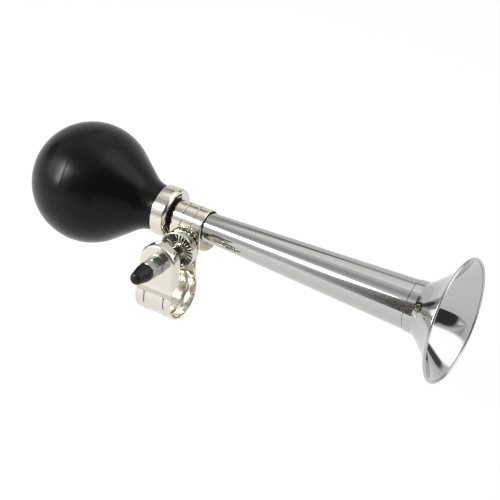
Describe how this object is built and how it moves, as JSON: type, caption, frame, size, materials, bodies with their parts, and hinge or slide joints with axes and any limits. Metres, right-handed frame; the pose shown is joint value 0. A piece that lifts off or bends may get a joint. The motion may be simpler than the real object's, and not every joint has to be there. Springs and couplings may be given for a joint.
{
  "type": "bulb horn",
  "caption": "Bulb horn with a rubber squeeze ball, a chromed cone and flared bell, on a toothed strap clamp for a handlebar.",
  "frame": {"origin": "centre of the handlebar in the strap's loop", "axes": "+X along the horn from the bulb to the bell, +Z from the handlebar up to the horn, +Y along the clamp bolt to its head"},
  "size_m": [0.2282, 0.0796, 0.0714],
  "materials": {
    "rubber": "satin",
    "nickel": "polished",
    "chrome": "polished",
    "zinc": "satin",
    "brass": "satin",
    "cap": "gloss"
  },
  "bodies": {
    "strap": {"handlebar_strap": "nickel"},
    "horn": {"bulb_collar": "nickel", "reed_holder": "brass", "reed_shallot": "brass", "reed_wedge": "brass", "horn_tube": "chrome", "bell": "chrome", "horn_band": "nickel", "pivot_bolt": "zinc"},
    "squeeze_bulb": {"bulb": "rubber"},
    "tongue": {"reed_tongue": "brass"},
    "washer": {"clamp_washer": "zinc"},
    "nuts": {"clamp_nut": "zinc", "lock_nut": "zinc"},
    "cap": {"bolt_cap": "cap"}
  },
  "joints": [
    {"name": "horn_swivel", "type": "hinge", "parent": "strap", "child": "horn", "pos_m": [0, 0, 0.0183], "axis": [0, 1, 0], "range_deg": [-30, 90]},
    {"name": "bulb_squeeze", "type": "slide", "parent": "horn", "child": "squeeze_bulb", "axis": [1, 0, 0], "range_m": [0, 0.018], "stiffness_N_per_m": 500, "deforming": ["bulb"]},
    {"name": "reed_beat", "type": "hinge", "parent": "horn", "child": "tongue", "pos_m": [-0.0267, 0.0201, 0.0298], "axis": [0, -1, 0], "range_deg": [0, 1.8], "stiffness_Nm_per_rad": 0.02, "deforming": ["reed_tongue"]},
    {"name": "washer_back_off", "type": "slide", "parent": "horn", "child": "washer", "axis": [0, -1, 0], "range_m": [0, 0.0016]},
    {"name": "nut_turn", "type": "hinge", "parent": "washer", "child": "nuts", "pos_m": [0, -0.0155, 0.0183], "axis": [0, -1, 0], "range_deg": [0, 720]},
    {"name": "cap_pull", "type": "slide", "parent": "nuts", "child": "cap", "axis": [0, -1, 0], "range_m": [0, 0.011]}
  ],
  "couplings": [
    {"joint": "nut_turn", "follows": "washer_back_off", "rad_per_m": 7853}
  ]
}
